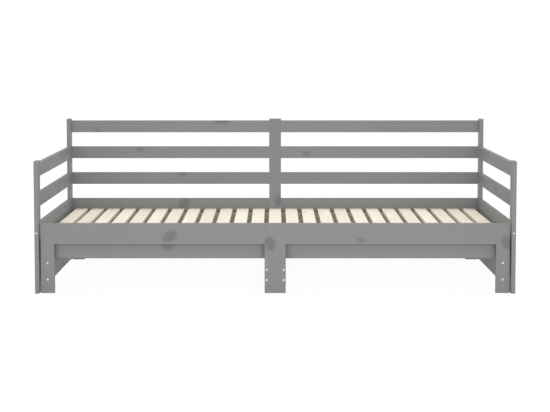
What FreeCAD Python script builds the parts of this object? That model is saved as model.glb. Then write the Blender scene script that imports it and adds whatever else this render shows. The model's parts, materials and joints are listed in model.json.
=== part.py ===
import FreeCAD, Part

import os
from collections import namedtuple
from types import SimpleNamespace

import Sketcher
from FreeCAD import Placement, Rotation, Vector

# A slatted day bed with a pull-out half, in millimetres.
# X runs along the bed, the front faces -Y and Z is up.
# The origin is on the floor under the middle of the day bed.

# Driving sizes, each with what it measures
SIZES = [
    ("bed_length", 2004, "clear length between the two side frames"),
    ("side_rail_length", 894, "clear depth between a front post and a back post"),
    ("board_thickness", 18, "thickness of every painted board"),
    ("narrow_width", 58, "width of posts, outer legs, upper rails and centre runners"),
    ("wide_width", 90, "width of bed rails, front boards, support rails and outer runners"),
    ("edge_radius", 1, "rounding of the painted boards' edges"),
    ("runner_lift", 49, "floor to the underside of the runners"),
    ("runner_gap", 4, "top of an outer runner to the support rail above it"),
    ("rail_gap", 70, "open height between two rails of a side or the back"),
    ("post_rise", 9, "top of a post above the rail beside it"),
    ("front_setback", 15, "front of the front posts to the front of the pull-out"),
    ("side_gap", 5, "side frame to the pull-out's outer leg"),
    ("slide_gap", 2, "depth left free where the pull-out stands before a fixed board"),
    ("centre_leg_gap", 3, "centre support leg to the runner on either side of it"),
    ("ledger_depth", 20, "depth of the strips under the slats' ends"),
    ("ledger_height", 24, "height of the strips under the slats' ends"),
    ("slat_width", 58, "width of a slat"),
    ("slat_thickness", 15, "thickness of a slat"),
    ("slat_radius", 2, "rounding of the slats' edges"),
    ("slat_end_gap", 1, "end of a slat to the board in line with it"),
    ("slat_side_margin", 19, "outermost slat to the side frame"),
    ("slat_screw_spacing", 30, "between the two screws at a slat's end"),
    ("wood_screw_diameter", 4, "shank of the countersunk wood screws"),
    ("wood_screw_head", 8, "head of the countersunk wood screws"),
    ("screw_tip_cover", 6, "wood left past the tip of a screw in two boards"),
    ("ledger_screw_inset", 14, "edge of a leg or of the centre post to the ledger screw in it"),
    ("rail_screw_low", 22, "lower edge of a support rail or rear rail to the lower screw in it"),
    ("rail_screw_spacing", 24, "between the two screws above each other there"),
    ("long_screw_diameter", 7, "shank of the screws into the ends of boards"),
    ("long_screw_head", 10, "head of the screws into the ends of boards"),
    ("long_screw_length", 50, "length of the screws into the ends of boards"),
    ("long_screw_socket", 4, "width across the flats of their sockets"),
    ("runner_screw_edge", 9.5, "edge of an outer runner to a screw in its end"),
    ("centre_screw_edge", 7, "edge of a centre runner to a screw in its end"),
    ("bolt_diameter", 6, "shank of the bed bolts"),
    ("bolt_head", 10, "head of the bed bolts"),
    ("bolt_head_height", 6, "height of that head"),
    ("bolt_head_recess", 0.5, "bolt head below the face of the post"),
    ("bolt_socket", 5, "width across the flats of a bolt's socket"),
    ("bolt_height", 49, "bed bolt above the lower edge of the bed rail"),
    ("bolt_overrun", 3, "end of a bed bolt past its barrel nut"),
    ("nut_diameter", 10, "barrel nut"),
    ("nut_cover", 2, "each end of a barrel nut below the face of the rail"),
    ("nut_inset", 30, "end of a bed rail to the axis of its barrel nut"),
    ("dowel_diameter", 8, "wooden dowels"),
    ("dowel_length", 40, "wooden dowels"),
    ("dowel_chamfer", 1, "slope at a dowel's ends"),
    ("narrow_dowel_spacing", 28, "between two fixings in the end of a narrow board"),
    ("wide_dowel_edge", 22, "edge of a bed rail to the fixings in its end, clear of the ledger's screws"),
    ("bracket_leg", 36, "each leg of a corner bracket"),
    ("bracket_thickness", 2.5, "steel of a corner bracket"),
    ("bracket_height", 20, "height of a corner bracket"),
    ("bracket_hole_inset", 22, "corner of a bracket to its screws"),
    ("socket_depth", 3, "hexagon sockets in screws and bolts"),
    ("hole_clearance", 0.1, "hole wall to the fastener in it"),
    ("hole_end_room", 1, "bottom of a blind hole to the fastener in it"),
]

FIXED_SLATS = 12
SLAT_STEPS = 2 * FIXED_SLATS
SIDES = ("left", "right")
TOUCH = 1e-6
HEXAGON_SIDES = 6
SINK_ANGLE = 90
ACROSS_CORNERS = 2 / 3**0.5


class Formula:
    """A size worked out from the named sizes, kept as the text of an expression."""

    def __init__(self, text):
        self.text = str(text)

    def __str__(self):
        return self.text

    def __add__(self, other):
        return Formula(f"({self} + {other})")

    def __sub__(self, other):
        return Formula(f"({self} - {other})")

    def __mul__(self, other):
        return Formula(f"({self} * ({other}))")

    def __truediv__(self, other):
        return Formula(f"({self} / {other})")

    def __neg__(self):
        return Formula(f"(0 - {self})")


# The sheet of driving sizes
doc = FreeCAD.newDocument("pull_out_bed")
sheet = doc.addObject("Spreadsheet::Sheet", "Sizes")
for row, (alias, value, note) in enumerate(SIZES, start=1):
    sheet.set(f"A{row}", note)
    sheet.set(f"B{row}", str(value))
    sheet.setAlias(f"B{row}", alias)
doc.recompute()
size = SimpleNamespace(**{alias: Formula(f"Sizes.{alias}") for alias, _, _ in SIZES})
NOTHING = Formula(0)

# Short words for the board sizes that most places need
thick = size.board_thickness
narrow = size.narrow_width
wide = size.wide_width

# Depth, from the front posts to the back posts
half_length = size.bed_length / 2
side_back = size.side_rail_length / 2
side_front = -side_back
back_face = side_back + narrow
post_front = -back_face
leg_front = post_front + size.front_setback
leg_back = leg_front + thick
front_ledger_back = leg_back + size.ledger_depth
support_front = front_ledger_back + size.slide_gap
support_back = support_front + thick
back_rail_front = back_face - thick
back_ledger_front = back_rail_front - size.ledger_depth
rear_leg_back = back_ledger_front - size.slide_gap
rear_leg_front = rear_leg_back - thick
rear_rail_front = rear_leg_front - thick

# Height, from the floor up
runner_top = size.runner_lift + wide
support_low = runner_top + size.runner_gap
seat = support_low + wide
slat_top = seat + size.slat_thickness
ledger_low = seat - size.ledger_height
ledger_middle = seat - size.ledger_height / 2
bed_rail_low = ledger_low
bed_rail_top = bed_rail_low + wide
rail_pitch = narrow + size.rail_gap
upper_rail_low = [bed_rail_top + size.rail_gap + rail_pitch * step for step in range(3)]
front_post_height = upper_rail_low[1] + narrow + size.post_rise
back_post_height = upper_rail_low[2] + narrow + size.post_rise

# Length, from the middle of the bed outwards
leg_outer = half_length - size.side_gap
leg_middle = leg_outer - narrow / 2
leg_inner = leg_outer - narrow
centre_leg_half = wide / 2
centre_runner_inner = centre_leg_half - thick
support_leg_half = centre_runner_inner - size.centre_leg_gap
centre_post_half = narrow / 2
slat_pitch = (size.bed_length - size.slat_side_margin * 2 - size.slat_width) / SLAT_STEPS

# Fixings in the ends of boards, and the lengths of the fasteners
wide_dowel_spacing = wide - size.wide_dowel_edge * 2
wood_screw_length = thick * 2 - size.screw_tip_cover
bracket_screw_length = size.bracket_thickness + thick - size.screw_tip_cover
bolt_seat = size.bolt_head_height + size.bolt_head_recess
bolt_reach = size.nut_inset + size.nut_diameter / 2 + size.bolt_overrun
bolt_length = narrow - bolt_seat + bolt_reach
nut_length = thick - size.nut_cover * 2

# Pieces that can be drilled, and pieces that are written out
pieces = {}
finished = {}


def bind(item, **formulas):
    """Ties an object's sizes to the sheet."""
    for name, formula in formulas.items():
        item.setExpression(name, str(formula))


def move(item, spot):
    """Ties an object's place to the sheet."""
    for axis, formula in zip("xyz", spot):
        item.setExpression(f"Placement.Base.{axis}", str(formula))


def mirrored(side, x):
    """The same distance from the middle of the bed, on the left or the right."""
    return x if side == "right" else -x


def low_x(side, inner, width):
    """Left-hand edge of a board that starts at inner and reaches outwards by width."""
    return inner if side == "right" else -(inner + width)


def new_body(label, low, reach, turn=0):
    """An empty body that starts at low, turned about Z, with its size where it is drilled in x, y and z."""
    body = doc.addObject("PartDesign::Body", label)
    body.Placement = Placement(Vector(), Rotation(Vector(0, 0, 1), turn))
    move(body, low)
    pieces[label] = SimpleNamespace(body=body, low=low, reach=reach)
    return body


def add(body, kind, name, **formulas):
    """One more feature of a body, with its sizes tied to the sheet."""
    feature = body.newObject(f"PartDesign::{kind}", name)
    bind(feature, **formulas)
    return feature


def edges_to_round(shape, axis, round_ends):
    """Names of a block's long edges, and of the edges round the named ends."""
    box = shape.BoundBox
    ends = {"low": (box.XMin, box.YMin, box.ZMin)[axis], "high": (box.XMax, box.YMax, box.ZMax)[axis]}
    names = []
    for number, edge in enumerate(shape.Edges, start=1):
        middle = edge.CenterOfMass[axis]
        at_end = [end for end, place in ends.items() if abs(middle - place) < TOUCH]
        if not at_end or at_end[0] in round_ends:
            names.append(f"Edge{number}")
    return names


def board(label, low, reach, along, round_ends=(), radius=size.edge_radius):
    """A board with rounded edges, long in the direction that along names."""
    body = new_body(label, low, reach)
    blank = add(body, "AdditiveBox", "blank", Length=reach[0], Width=reach[1], Height=reach[2])
    doc.recompute()
    rounded = add(body, "Fillet", "rounded_edges", Radius=radius)
    rounded.Base = (blank, edges_to_round(blank.Shape, "xyz".index(along), round_ends))
    finished[label] = body


def sketch_on(body, role, lift):
    """A sketch parallel to one of the body's own planes."""
    sketch = body.newObject("Sketcher::SketchObject", "marks")
    plane = next(item for item in body.Origin.OriginFeatures if item.Role == role)
    sketch.AttachmentSupport = [(plane, "")]
    sketch.MapMode = "FlatFace"
    sketch.setExpression("AttachmentOffset.Base.z", str(lift))
    return sketch


# Ways to drive a fastener: the plane that its hole is marked on, the plane's two axes, the axis that it
# runs along, whether it enters at the high end, the plane's own sense along that axis, whether the hole runs
# with the plane's normal, and the way that the fastener points
Way = namedtuple("Way", "plane across axis from_high sense with_normal points")
WAYS = {
    "down": Way("XY_Plane", (0, 1), 2, True, 1, False, Vector(0, 0, -1)),
    "back": Way("XZ_Plane", (0, 2), 1, False, -1, False, Vector(0, 1, 0)),
    "front": Way("XZ_Plane", (0, 2), 1, True, -1, True, Vector(0, -1, 0)),
    "right": Way("YZ_Plane", (1, 2), 0, False, 1, True, Vector(1, 0, 0)),
    "left": Way("YZ_Plane", (1, 2), 0, True, 1, False, Vector(-1, 0, 0)),
}

# Holes wanted in each piece, gathered so that like holes in one face are cut together
wanted_holes = {}


def hole(diameter, depth=None, sink=None, bore=None, bore_depth=None):
    """The texts of a hole's sizes: right through without a depth, with a countersink or a counterbore."""
    return tuple(part and str(part) for part in (diameter, depth, sink, bore, bore_depth))


def drill(label, way, kind, spots):
    """Asks for holes of one kind in a piece, at spots on the face where the fastener enters it."""
    wanted_holes.setdefault((label, way, kind), []).extend(spots)


def cut_holes(label, way_name, kind, spots):
    """Cuts the like holes in one face of a piece."""
    piece = pieces[label]
    way = WAYS[way_name]
    diameter, depth, sink, bore, bore_depth = kind
    entry = piece.reach[way.axis] if way.from_high else NOTHING
    marks = sketch_on(piece.body, way.plane, entry * way.sense)
    for number, spot in enumerate(spots):
        marks.addGeometry(Part.Circle(Vector(number + 1, 1, 0), Vector(0, 0, 1), 1))
        for rule, axis in zip(("DistanceX", "DistanceY"), way.across):
            tied = marks.addConstraint(Sketcher.Constraint(rule, -1, 1, number, 3, 1))
            marks.setExpression(f"Constraints[{tied}]", str(spot[axis] - piece.low[axis]))
    doc.recompute()
    cut = add(piece.body, "Hole", "hole", Diameter=diameter)
    cut.Profile = marks
    cut.ThreadType = "None"
    cut.DrillPoint = "Flat"
    cut.Reversed = way.with_normal
    cut.DepthType = "Dimension" if depth else "ThroughAll"
    if depth:
        bind(cut, Depth=depth)
    if sink:
        cut.HoleCutType = "Countersink"
        cut.HoleCutCustomValues = True
        cut.HoleCutCountersinkAngle = SINK_ANGLE
        bind(cut, HoleCutDiameter=sink)
    if bore:
        cut.HoleCutType = "Counterbore"
        cut.HoleCutCustomValues = True
        bind(cut, HoleCutDiameter=bore, HoleCutDepth=bore_depth)
    doc.recompute()


def copies(label, pattern, spots_by_way):
    """A group of like fasteners, each with its head at a spot and its point the named way."""
    links = []
    for way, spots in spots_by_way.items():
        turn = Rotation(Vector(0, 0, -1), WAYS[way].points)
        for spot in spots:
            link = doc.addObject("App::Link", f"{label}_one")
            link.LinkedObject = pattern
            link.Placement = Placement(Vector(), turn)
            move(link, spot)
            links.append(link)
    group = doc.addObject("Part::Compound", label)
    group.Links = links
    finished[label] = group


# Patterns of the fasteners, each with the top of its head at the origin and its point down
def raised(feature, height):
    """Sets a feature of a fastener at a height below its head."""
    feature.setExpression("Placement.Base.z", str(height))
    return feature


def socket(body, across_flats, top):
    """Hexagon socket in the top of a head."""
    corner = across_flats / 2 * ACROSS_CORNERS
    cut = add(body, "SubtractivePrism", "socket", Circumradius=corner, Height=size.socket_depth)
    cut.Polygon = HEXAGON_SIDES
    raised(cut, top - size.socket_depth)


def countersunk_screw(name, head, diameter, length, across_flats=None):
    """Screw with a flat countersunk head and a point as long as it is thick."""
    body = doc.addObject("PartDesign::Body", name)
    sink = (head - diameter) / 2
    cone = add(body, "AdditiveCone", "head", Radius1=diameter / 2, Radius2=head / 2, Height=sink)
    raised(cone, -sink)
    shank = add(body, "AdditiveCylinder", "shank", Radius=diameter / 2, Height=length - sink - diameter)
    raised(shank, diameter - length)
    tip = add(body, "AdditiveCone", "tip", Radius1=NOTHING, Radius2=diameter / 2, Height=diameter)
    raised(tip, -length)
    if across_flats:
        socket(body, across_flats, NOTHING)
    return body


def bed_bolt():
    """Bolt with a cylindrical head and a hexagon socket."""
    body = doc.addObject("PartDesign::Body", "bed_bolt")
    head = add(body, "AdditiveCylinder", "head", Radius=size.bolt_head / 2, Height=size.bolt_head_height)
    raised(head, -size.bolt_head_height)
    shank = add(body, "AdditiveCylinder", "shank", Radius=size.bolt_diameter / 2, Height=bolt_length)
    raised(shank, -size.bolt_head_height - bolt_length)
    socket(body, size.bolt_socket, NOTHING)
    return body


def barrel_nut():
    """Short steel cylinder with a hole across its middle for the bolt."""
    body = doc.addObject("PartDesign::Body", "barrel_nut")
    barrel = add(body, "AdditiveCylinder", "barrel", Radius=size.nut_diameter / 2, Height=nut_length)
    raised(barrel, -nut_length)
    bore = size.bolt_diameter / 2 + size.hole_clearance
    thread = add(body, "SubtractiveCylinder", "thread", Radius=bore, Height=size.nut_diameter * 2)
    thread.Placement = Placement(Vector(), Rotation(Vector(0, 0, 1), Vector(0, 1, 0)))
    move(thread, (NOTHING, -size.nut_diameter, -nut_length / 2))
    return body


def dowel():
    """Wooden peg with sloped ends, half in each board."""
    body = doc.addObject("PartDesign::Body", "dowel")
    peg = add(body, "AdditiveCylinder", "peg", Radius=size.dowel_diameter / 2, Height=size.dowel_length)
    raised(peg, -size.dowel_length / 2)
    doc.recompute()
    ends = [f"Edge{number}" for number, edge in enumerate(peg.Shape.Edges, 1) if edge.isClosed()]
    slope = add(body, "Chamfer", "sloped_ends", Size=size.dowel_chamfer)
    slope.Base = (peg, ends)
    return body


wood_screw = countersunk_screw(
    "wood_screw", size.wood_screw_head, size.wood_screw_diameter, wood_screw_length
)
bracket_screw = countersunk_screw(
    "bracket_screw", size.wood_screw_head, size.wood_screw_diameter, bracket_screw_length
)
long_screw = countersunk_screw(
    "long_screw",
    size.long_screw_head,
    size.long_screw_diameter,
    size.long_screw_length,
    size.long_screw_socket,
)
bolt_pattern = bed_bolt()
nut_pattern = barrel_nut()
dowel_pattern = dowel()


def loose(diameter):
    """Diameter of the hole that a fastener fits."""
    return diameter + size.hole_clearance * 2


wood_screw_clear = hole(loose(size.wood_screw_diameter), sink=loose(size.wood_screw_head))
long_screw_clear = hole(loose(size.long_screw_diameter), sink=loose(size.long_screw_head))
bolt_clear = hole(loose(size.bolt_diameter), bore=loose(size.bolt_head), bore_depth=bolt_seat)
bolt_blind = hole(loose(size.bolt_diameter), bolt_reach + size.hole_end_room)
nut_blind = hole(loose(size.nut_diameter), size.nut_cover + nut_length + size.hole_clearance)
dowel_blind = hole(loose(size.dowel_diameter), size.dowel_length / 2 + size.hole_end_room)


def wood_screw_blind(first_board):
    """Hole for the rest of a wood screw that has passed through the first board."""
    return hole(loose(size.wood_screw_diameter), wood_screw_length - first_board + size.hole_end_room)


long_screw_blind = hole(
    loose(size.long_screw_diameter), size.long_screw_length - thick + size.hole_end_room
)


def in_pair(middle, spacing):
    """Two places either side of a middle."""
    return (middle - spacing / 2, middle + spacing / 2)


# Side frames: two posts and three rails each, and the back's centre post
for side in SIDES:
    outer_x = low_x(side, half_length, thick)
    for end, start, height in (
        ("front", post_front, front_post_height),
        ("back", side_back, back_post_height),
    ):
        board(f"{end}_post_{side}", (outer_x, start, NOTHING), (thick, narrow, height), "z", ("high",))
    for name, low, width in (
        ("bed", bed_rail_low, wide),
        ("middle", upper_rail_low[0], narrow),
        ("top", upper_rail_low[1], narrow),
    ):
        reach = (thick, size.side_rail_length, width)
        board(f"side_{name}_rail_{side}", (outer_x, side_front, low), reach, "y")

board(
    "back_centre_post",
    (-centre_post_half, back_rail_front, NOTHING),
    (narrow, thick, back_post_height),
    "z",
    ("high",),
)

# Back rails, from the centre post out to the back posts
BACK_RAILS = (
    ("bed", bed_rail_low, wide, wide_dowel_spacing),
    ("lower", upper_rail_low[0], narrow, size.narrow_dowel_spacing),
    ("upper", upper_rail_low[1], narrow, size.narrow_dowel_spacing),
    ("top", upper_rail_low[2], narrow, size.narrow_dowel_spacing),
)
back_rail_length = half_length - centre_post_half
for side in SIDES:
    for name, low, width, _ in BACK_RAILS:
        start = (low_x(side, centre_post_half, back_rail_length), back_rail_front, low)
        board(f"back_{name}_rail_{side}", start, (back_rail_length, thick, width), "x")

# Boards under the slats of the day bed: ledgers on the back, support rails at the front and their leg
for side in SIDES:
    start_x = low_x(side, NOTHING, half_length)
    ledger_reach = (half_length, size.ledger_depth, size.ledger_height)
    board(f"back_slat_ledger_{side}", (start_x, back_ledger_front, ledger_low), ledger_reach, "x")
    support_reach = (half_length, thick, wide)
    board(f"front_support_rail_{side}", (start_x, support_front, support_low), support_reach, "x")

board(
    "centre_support_leg",
    (-support_leg_half, support_back, NOTHING),
    (support_leg_half * 2, thick, seat),
    "z",
)


def corner_bracket(side):
    """Steel angle in the corner between a support rail and a side bed rail."""
    label = f"corner_bracket_{side}"
    height = size.bracket_height
    steel = size.bracket_thickness
    low = (mirrored(side, half_length), support_back, ledger_middle - height / 2)
    quarter_turn = {"left": 0, "right": 90}[side]
    body = new_body(label, low, (steel, steel, height), quarter_turn)
    add(body, "AdditiveBox", "rail_leg", Length=size.bracket_leg, Width=steel, Height=height)
    add(body, "AdditiveBox", "side_leg", Length=steel, Width=size.bracket_leg, Height=height)
    on_rail = (low[0] + size.bracket_hole_inset, low[1], ledger_middle)
    on_side = (low[0], low[1] + size.bracket_hole_inset, ledger_middle)
    drill(label, "front", wood_screw_clear, [on_rail])
    drill(label, "left", wood_screw_clear, [on_side])
    finished[label] = body


for side in SIDES:
    corner_bracket(side)

# Pull-out: front legs and boards in one plane
for side in SIDES:
    leg_x = low_x(side, leg_inner, narrow)
    board(f"front_leg_{side}", (leg_x, leg_front, NOTHING), (narrow, thick, bed_rail_top), "z", ("high",))
    board_length = leg_inner - centre_leg_half
    board_x = low_x(side, centre_leg_half, board_length)
    outer_end = {"left": "low", "right": "high"}[side]
    front_reach = (board_length, thick, wide)
    board(f"front_board_{side}", (board_x, leg_front, bed_rail_low), front_reach, "x", (outer_end,))

board(
    "front_centre_leg",
    (-centre_leg_half, leg_front, NOTHING),
    (wide, thick, bed_rail_top),
    "z",
    ("high",),
)

# Pull-out: strips under the slats, runners, rear rails and rear legs
runner_length = rear_leg_front - leg_back
for side in SIDES:
    ledger_x = low_x(side, NOTHING, leg_outer)
    ledger_reach = (leg_outer, size.ledger_depth, size.ledger_height)
    board(f"front_slat_ledger_{side}", (ledger_x, leg_back, ledger_low), ledger_reach, "x")
    outer_runner = (low_x(side, leg_middle - thick / 2, thick), leg_back, size.runner_lift)
    board(f"outer_runner_{side}", outer_runner, (thick, runner_length, wide), "y")
    centre_runner = (low_x(side, centre_runner_inner, thick), leg_back, size.runner_lift)
    board(f"centre_runner_{side}", centre_runner, (thick, runner_length, narrow), "y")
    board(f"rear_rail_{side}", (ledger_x, rear_rail_front, support_low), (leg_outer, thick, wide), "x")
    rear_leg_x = low_x(side, leg_inner, narrow)
    board(f"rear_leg_{side}", (rear_leg_x, rear_leg_front, NOTHING), (narrow, thick, seat), "z")

board("rear_centre_leg", (-centre_leg_half, rear_leg_front, NOTHING), (wide, thick, seat), "z")


# Slats, two screws at each end, in two interleaved sets
def slat_set(name, first_step, front, back, carriers):
    """Every other slat, from front to back, screwed down on the two boards under its ends."""
    pattern = f"{name}_slat"
    reach = (size.slat_width, back - front, size.slat_thickness)
    board(pattern, (-size.slat_width / 2, front, seat), reach, "y", ("low", "high"), size.slat_radius)
    slat = finished.pop(pattern)
    screw_depths = [y for _, y in carriers]
    for x in in_pair(NOTHING, size.slat_screw_spacing):
        drill(pattern, "down", wood_screw_clear, [(x, y, slat_top) for y in screw_depths])
    steps = range(first_step - FIXED_SLATS, FIXED_SLATS + 1, 2)
    slat_links = []
    screw_spots = []
    for step in steps:
        middle = slat_pitch * step
        link = doc.addObject("App::Link", f"{pattern}_one")
        link.LinkedObject = slat
        move(link, (middle - size.slat_width / 2, front, seat))
        slat_links.append(link)
        for reach_side, x in zip(SIDES, in_pair(middle, size.slat_screw_spacing)):
            side = reach_side if step == 0 else SIDES[step > 0]
            for carrier, y in carriers:
                spot = (x, y, slat_top)
                screw_spots.append(spot)
                drill(f"{carrier}_{side}", "down", wood_screw_blind(size.slat_thickness), [spot])
    group = doc.addObject("Part::Compound", f"{name}_slats")
    group.Links = slat_links
    finished[f"{name}_slats"] = group
    copies(f"{name}_slat_screws", wood_screw, {"down": screw_spots})


support_middle = support_front + thick / 2
back_ledger_middle = back_ledger_front + size.ledger_depth / 2
front_ledger_middle = leg_back + size.ledger_depth / 2
rear_rail_middle = rear_rail_front + thick / 2
slat_set(
    "fixed",
    1,
    support_front,
    back_rail_front - size.slat_end_gap,
    [("front_support_rail", support_middle), ("back_slat_ledger", back_ledger_middle)],
)
slat_set(
    "pullout",
    0,
    leg_back + size.slat_end_gap,
    back_rail_front - size.slide_gap,
    [("front_slat_ledger", front_ledger_middle), ("rear_rail", rear_rail_middle)],
)


# Screws through one flat board into the next
def lap_screws(label, way, first_thickness, pairs):
    """Wood screws at spots on the first board of each pair, right through it and into the second."""
    spots = []
    for first, second, spot in pairs:
        drill(first, way, wood_screw_clear, [spot])
        drill(second, way, wood_screw_blind(first_thickness), [spot])
        spots.append(spot)
    copies(label, wood_screw, {way: spots})


def ledger_screws():
    """Screws through the ledgers, midway between the slats that they carry, and into legs and centre post."""
    inset = size.ledger_screw_inset
    front = []
    back = []
    for side in SIDES:
        front_ledger = f"front_slat_ledger_{side}"
        back_ledger = f"back_slat_ledger_{side}"
        for step in range(1, FIXED_SLATS, 2):
            spot = (mirrored(side, slat_pitch * step), front_ledger_back, ledger_middle)
            front.append((front_ledger, f"front_board_{side}", spot))
        outer = (mirrored(side, leg_outer - inset), front_ledger_back, ledger_middle)
        inner = (mirrored(side, centre_leg_half - inset), front_ledger_back, ledger_middle)
        front.append((front_ledger, f"front_leg_{side}", outer))
        front.append((front_ledger, "front_centre_leg", inner))
        for step in range(2, FIXED_SLATS + 1, 2):
            spot = (mirrored(side, slat_pitch * step), back_ledger_front, ledger_middle)
            back.append((back_ledger, f"back_bed_rail_{side}", spot))
        middle = (mirrored(side, centre_post_half - inset), back_ledger_front, ledger_middle)
        back.append((back_ledger, "back_centre_post", middle))
    lap_screws("front_ledger_screws", "front", size.ledger_depth, front)
    lap_screws("back_ledger_screws", "back", size.ledger_depth, back)


def rail_screws():
    """Screws that hold the rear rails to the rear legs, and the support rails to their leg."""
    lower = support_low + size.rail_screw_low
    heights = (lower, lower + size.rail_screw_spacing)
    rear = []
    support = []
    for side in SIDES:
        for z in heights:
            outer = (mirrored(side, leg_middle), rear_rail_front, z)
            inner = (mirrored(side, centre_leg_half / 2), rear_rail_front, z)
            rear.append((f"rear_rail_{side}", f"rear_leg_{side}", outer))
            rear.append((f"rear_rail_{side}", "rear_centre_leg", inner))
            middle = (mirrored(side, support_leg_half / 2), support_back + thick, z)
            support.append(("centre_support_leg", f"front_support_rail_{side}", middle))
    lap_screws("rear_rail_screws", "back", thick, rear)
    lap_screws("support_leg_screws", "front", thick, support)


def bracket_screws():
    """One screw through each leg of each corner bracket."""
    depth = bracket_screw_length - size.bracket_thickness + size.hole_end_room
    blind = hole(loose(size.wood_screw_diameter), depth)
    steel = size.bracket_thickness
    spots = {"front": [], "left": [], "right": []}
    for side in SIDES:
        on_rail = (mirrored(side, half_length - size.bracket_hole_inset), support_back + steel, ledger_middle)
        on_side = (mirrored(side, half_length - steel), support_back + size.bracket_hole_inset, ledger_middle)
        spots["front"].append(on_rail)
        spots[side].append(on_side)
        drill(f"front_support_rail_{side}", "front", blind, [on_rail])
        drill(f"side_bed_rail_{side}", side, blind, [on_side])
    copies("bracket_screws", bracket_screw, spots)


ledger_screws()
rail_screws()
bracket_screws()


# Screws through legs and posts into the ends of boards
def runner_screws(label, leg, way, y):
    """Two screws through a leg into the end of each runner."""
    outer_heights = (size.runner_lift + size.runner_screw_edge, runner_top - size.runner_screw_edge)
    centre_low = size.runner_lift + size.centre_screw_edge
    centre_heights = (centre_low, size.runner_lift + narrow - size.centre_screw_edge)
    spots = []
    for side in SIDES:
        for name, runner, x, heights in (
            (f"{leg}_leg_{side}", f"outer_runner_{side}", leg_middle, outer_heights),
            (f"{leg}_centre_leg", f"centre_runner_{side}", centre_leg_half - thick / 2, centre_heights),
        ):
            row = [(mirrored(side, x), y, z) for z in heights]
            drill(name, way, long_screw_clear, row)
            drill(runner, way, long_screw_blind, row)
            spots.extend(row)
    copies(label, long_screw, {way: spots})


def back_rail_screws():
    """Two screws through a back post into the outer end of each back rail."""
    spots = {"left": [], "right": []}
    for side, way in zip(SIDES, reversed(SIDES)):
        for name, low, width, spacing in BACK_RAILS:
            x = mirrored(side, half_length + thick)
            row = [(x, back_face - thick / 2, z) for z in in_pair(low + width / 2, spacing)]
            drill(f"back_post_{side}", way, long_screw_clear, row)
            drill(f"back_{name}_rail_{side}", way, long_screw_blind, row)
            spots[way].extend(row)
    copies("back_rail_screws", long_screw, spots)


runner_screws("front_leg_screws", "front", "back", leg_front)
runner_screws("rear_leg_screws", "rear", "front", rear_leg_back)
back_rail_screws()


def bed_bolts():
    """A bolt through each post into the end of the bed rail, and the barrel nut that it turns into."""
    bolts = {"front": [], "back": []}
    nuts = {"left": [], "right": []}
    z = bed_rail_low + size.bolt_height
    for side in SIDES:
        x = mirrored(side, half_length + thick / 2)
        nut_x = mirrored(side, half_length + size.nut_cover)
        rail = f"side_bed_rail_{side}"
        for end, way, face, head_y, nut_y in (
            ("front", "back", post_front, post_front + size.bolt_head_recess, side_front + size.nut_inset),
            ("back", "front", back_face, back_face - size.bolt_head_recess, side_back - size.nut_inset),
        ):
            drill(f"{end}_post_{side}", way, bolt_clear, [(x, face, z)])
            drill(rail, way, bolt_blind, [(x, face, z)])
            drill(rail, side, nut_blind, [(nut_x, nut_y, z)])
            bolts[way].append((x, head_y, z))
            nuts[side].append((nut_x, nut_y, z))
    copies("bed_bolts", bolt_pattern, bolts)
    copies("barrel_nuts", nut_pattern, nuts)


bed_bolts()


# Dowels across butt joints
def dowel_joint(axis, lower, upper, spots):
    """Asks for the two halves of each dowel's hole, in the board below the joint and the one above it."""
    into_lower, into_upper = {"x": ("left", "right"), "y": ("front", "back")}[axis]
    drill(lower, into_lower, dowel_blind, spots)
    drill(upper, into_upper, dowel_blind, spots)
    return spots


def side_rail_dowels():
    """Two dowels at each end of each side rail."""
    spots = []
    for side in SIDES:
        x = mirrored(side, half_length + thick / 2)
        for name, low, width, spacing in (
            ("bed", bed_rail_low, wide, wide_dowel_spacing),
            ("middle", upper_rail_low[0], narrow, size.narrow_dowel_spacing),
            ("top", upper_rail_low[1], narrow, size.narrow_dowel_spacing),
        ):
            rail = f"side_{name}_rail_{side}"
            heights = in_pair(low + width / 2, spacing)
            front = [(x, side_front, z) for z in heights]
            back = [(x, side_back, z) for z in heights]
            spots += dowel_joint("y", f"front_post_{side}", rail, front)
            spots += dowel_joint("y", rail, f"back_post_{side}", back)
    copies("side_rail_dowels", dowel_pattern, {"back": spots})


def across(side, inner, outer, spots):
    """A dowel joint along the bed between a board nearer the middle and one further out."""
    lower, upper = (inner, outer) if side == "right" else (outer, inner)
    return dowel_joint("x", lower, upper, spots)


def back_rail_dowels():
    """Two dowels where each back rail meets the centre post."""
    spots = []
    for side in SIDES:
        for name, low, width, spacing in BACK_RAILS:
            x = mirrored(side, centre_post_half)
            row = [(x, back_face - thick / 2, z) for z in in_pair(low + width / 2, spacing)]
            spots += across(side, "back_centre_post", f"back_{name}_rail_{side}", row)
    copies("back_rail_dowels", dowel_pattern, {"right": spots})


def front_board_dowels():
    """Two dowels at each end of each front board."""
    spots = []
    heights = in_pair(bed_rail_low + wide / 2, size.narrow_dowel_spacing)
    y = leg_front + thick / 2
    for side in SIDES:
        front_board = f"front_board_{side}"
        inner = [(mirrored(side, centre_leg_half), y, z) for z in heights]
        outer = [(mirrored(side, leg_inner), y, z) for z in heights]
        spots += across(side, "front_centre_leg", front_board, inner)
        spots += across(side, front_board, f"front_leg_{side}", outer)
    copies("front_board_dowels", dowel_pattern, {"right": spots})


side_rail_dowels()
back_rail_dowels()
front_board_dowels()

# Every hole, then a look at each shape before any file is written
for (label, way, kind), spots in wanted_holes.items():
    cut_holes(label, way, kind, spots)
doc.recompute()

for item in doc.Objects:
    if "Invalid" in item.State or "Error" in item.State:
        raise RuntimeError(f"{item.Label} is {item.State}")
    if item.TypeId == "PartDesign::Hole" and item.Shape.Volume >= item.BaseFeature.Shape.Volume - TOUCH:
        raise RuntimeError(f"{item.Label} cuts nothing")
for label, item in finished.items():
    if item.Shape.isNull() or not item.Shape.isValid():
        raise RuntimeError(f"{label} has no valid shape")

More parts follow.
